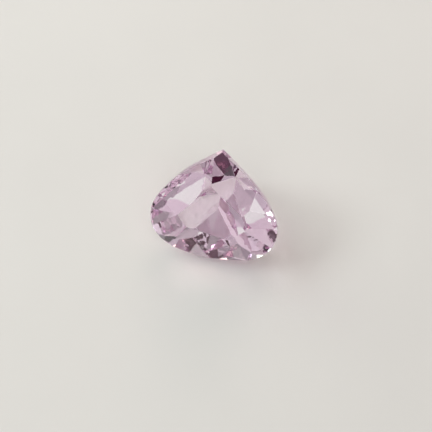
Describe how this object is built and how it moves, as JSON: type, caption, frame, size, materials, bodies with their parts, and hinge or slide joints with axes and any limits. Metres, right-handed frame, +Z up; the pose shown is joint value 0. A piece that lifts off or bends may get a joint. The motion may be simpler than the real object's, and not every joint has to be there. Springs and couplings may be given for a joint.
{
  "type": "faceted kunzite gemstone",
  "caption": "Loose cut kunzite: a pale lilac, see-through faceted gem, rounded triangle in outline with one sharp tip, lying on a pavilion facet.",
  "frame": {"origin": "on the surface the gem lies on, under the middle of its bounding box", "axes": "+X across the gem's widest line, +Y the way the raised tip points when seen from above, +Z up from the surface; the table faces up and towards -Y"},
  "size_m": [0.0136, 0.0096, 0.0102],
  "materials": {
    "kunzite": "polished facets, transparent pale lilac, IOR 1.66, absorption in the volume"
  },
  "bodies": {
    "root": {"kunzite_gem": "kunzite"}
  },
  "joints": []
}
